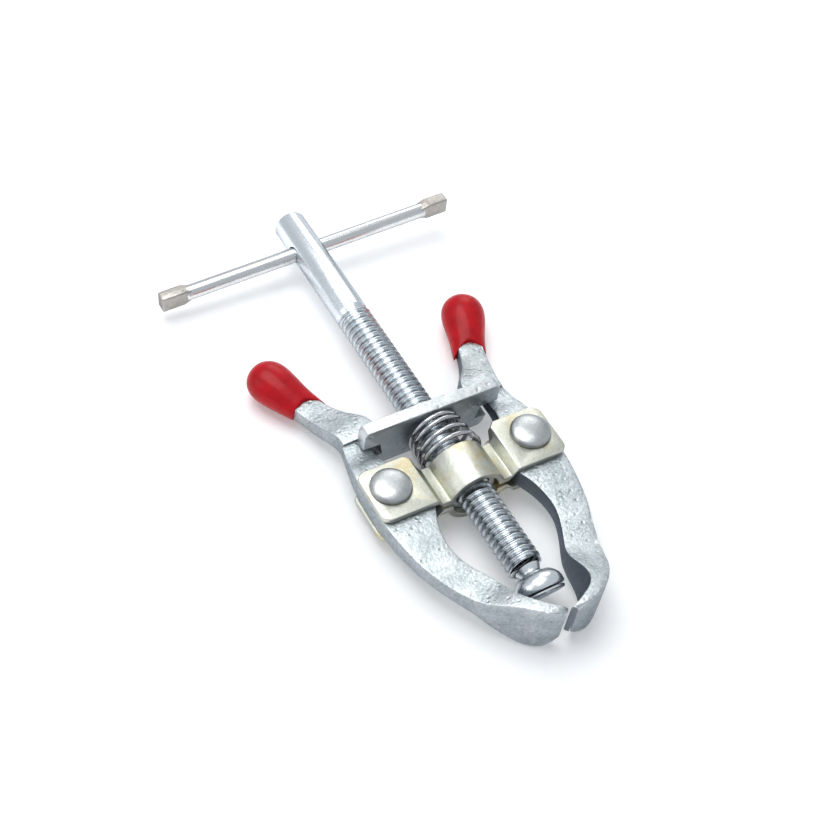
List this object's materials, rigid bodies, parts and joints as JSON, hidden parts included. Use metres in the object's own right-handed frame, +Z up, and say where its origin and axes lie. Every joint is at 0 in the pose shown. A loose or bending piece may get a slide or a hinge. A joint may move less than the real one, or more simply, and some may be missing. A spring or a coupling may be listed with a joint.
{
  "type": "two-jaw clamp puller",
  "caption": "Hand puller with two spring-closed forged jaws, red dipped grips, a riveted bracket and a forcing screw with a sliding tee bar.",
  "frame": {"origin": "on the ground under the middle of the tool's outline, lying flat", "axes": "+Y along the forcing screw from the jaws to the tee bar, +X from the left rivet to the right rivet, +Z up through both rivets"},
  "size_m": [0.0956, 0.1562, 0.0186],
  "materials": {
    "forged_zinc": "pale silver zinc over a fine forged grain",
    "yellow_zinc": "pale yellow passivated zinc on pressed sheet",
    "rivet_steel": "satin grey domed head",
    "screw_zinc": "bright bluish zinc",
    "bar_steel": "smooth bright plated bar",
    "plate_zinc": "grey zinc with a pitted cut edge",
    "spring_steel": "bright drawn wire",
    "red_vinyl": "glossy dipped vinyl"
  },
  "bodies": {
    "bracket": {"front_plate": "yellow_zinc", "back_plate": "yellow_zinc", "nut": "forged_zinc", "left_rivet": "rivet_steel", "right_rivet": "rivet_steel", "spring": "spring_steel"},
    "left_jaw_arm": {"left_arm": "forged_zinc", "left_grip": "red_vinyl"},
    "right_jaw_arm": {"right_arm": "forged_zinc", "right_grip": "red_vinyl"},
    "plate": {"cross_plate": "plate_zinc"},
    "pad": {"swivel_pad": "screw_zinc", "pad_disc": "screw_zinc"},
    "forcing_screw": {"screw": "screw_zinc"},
    "handle_bar": {"tee_bar": "bar_steel"}
  },
  "joints": [
    {"name": "left_jaw", "type": "hinge", "parent": "bracket", "child": "left_jaw_arm", "pos_m": [-0.022, -0.0241, 0.0088], "axis": [0, 0, 1], "range_deg": [-9, 0]},
    {"name": "right_jaw", "type": "hinge", "parent": "bracket", "child": "right_jaw_arm", "pos_m": [0.022, -0.0241, 0.0088], "axis": [0, 0, 1], "range_deg": [0, 9]},
    {"name": "plate_slide", "type": "slide", "parent": "bracket", "child": "plate", "axis": [0, 1, 0], "range_m": [-0.0016, 0], "deforming": ["spring"]},
    {"name": "pad_feed", "type": "slide", "parent": "bracket", "child": "pad", "axis": [0, -1, 0], "range_m": [-0.0266, 0]},
    {"name": "screw_turn", "type": "hinge", "parent": "pad", "child": "forcing_screw", "pos_m": [0, -0.0635, 0.0088], "axis": [0, -1, 0], "range_deg": [-4680, 0]},
    {"name": "tee_slide", "type": "slide", "parent": "forcing_screw", "child": "handle_bar", "axis": [0.9989, 0, 0.0471], "range_m": [-0.034, 0.034]}
  ],
  "couplings": [
    {"joint": "right_jaw", "follows": "left_jaw", "ratio": -1},
    {"joint": "plate_slide", "follows": "left_jaw", "m_per_rad": 0.0098},
    {"joint": "pad_feed", "follows": "screw_turn", "m_per_rad": 0.00031831}
  ]
}
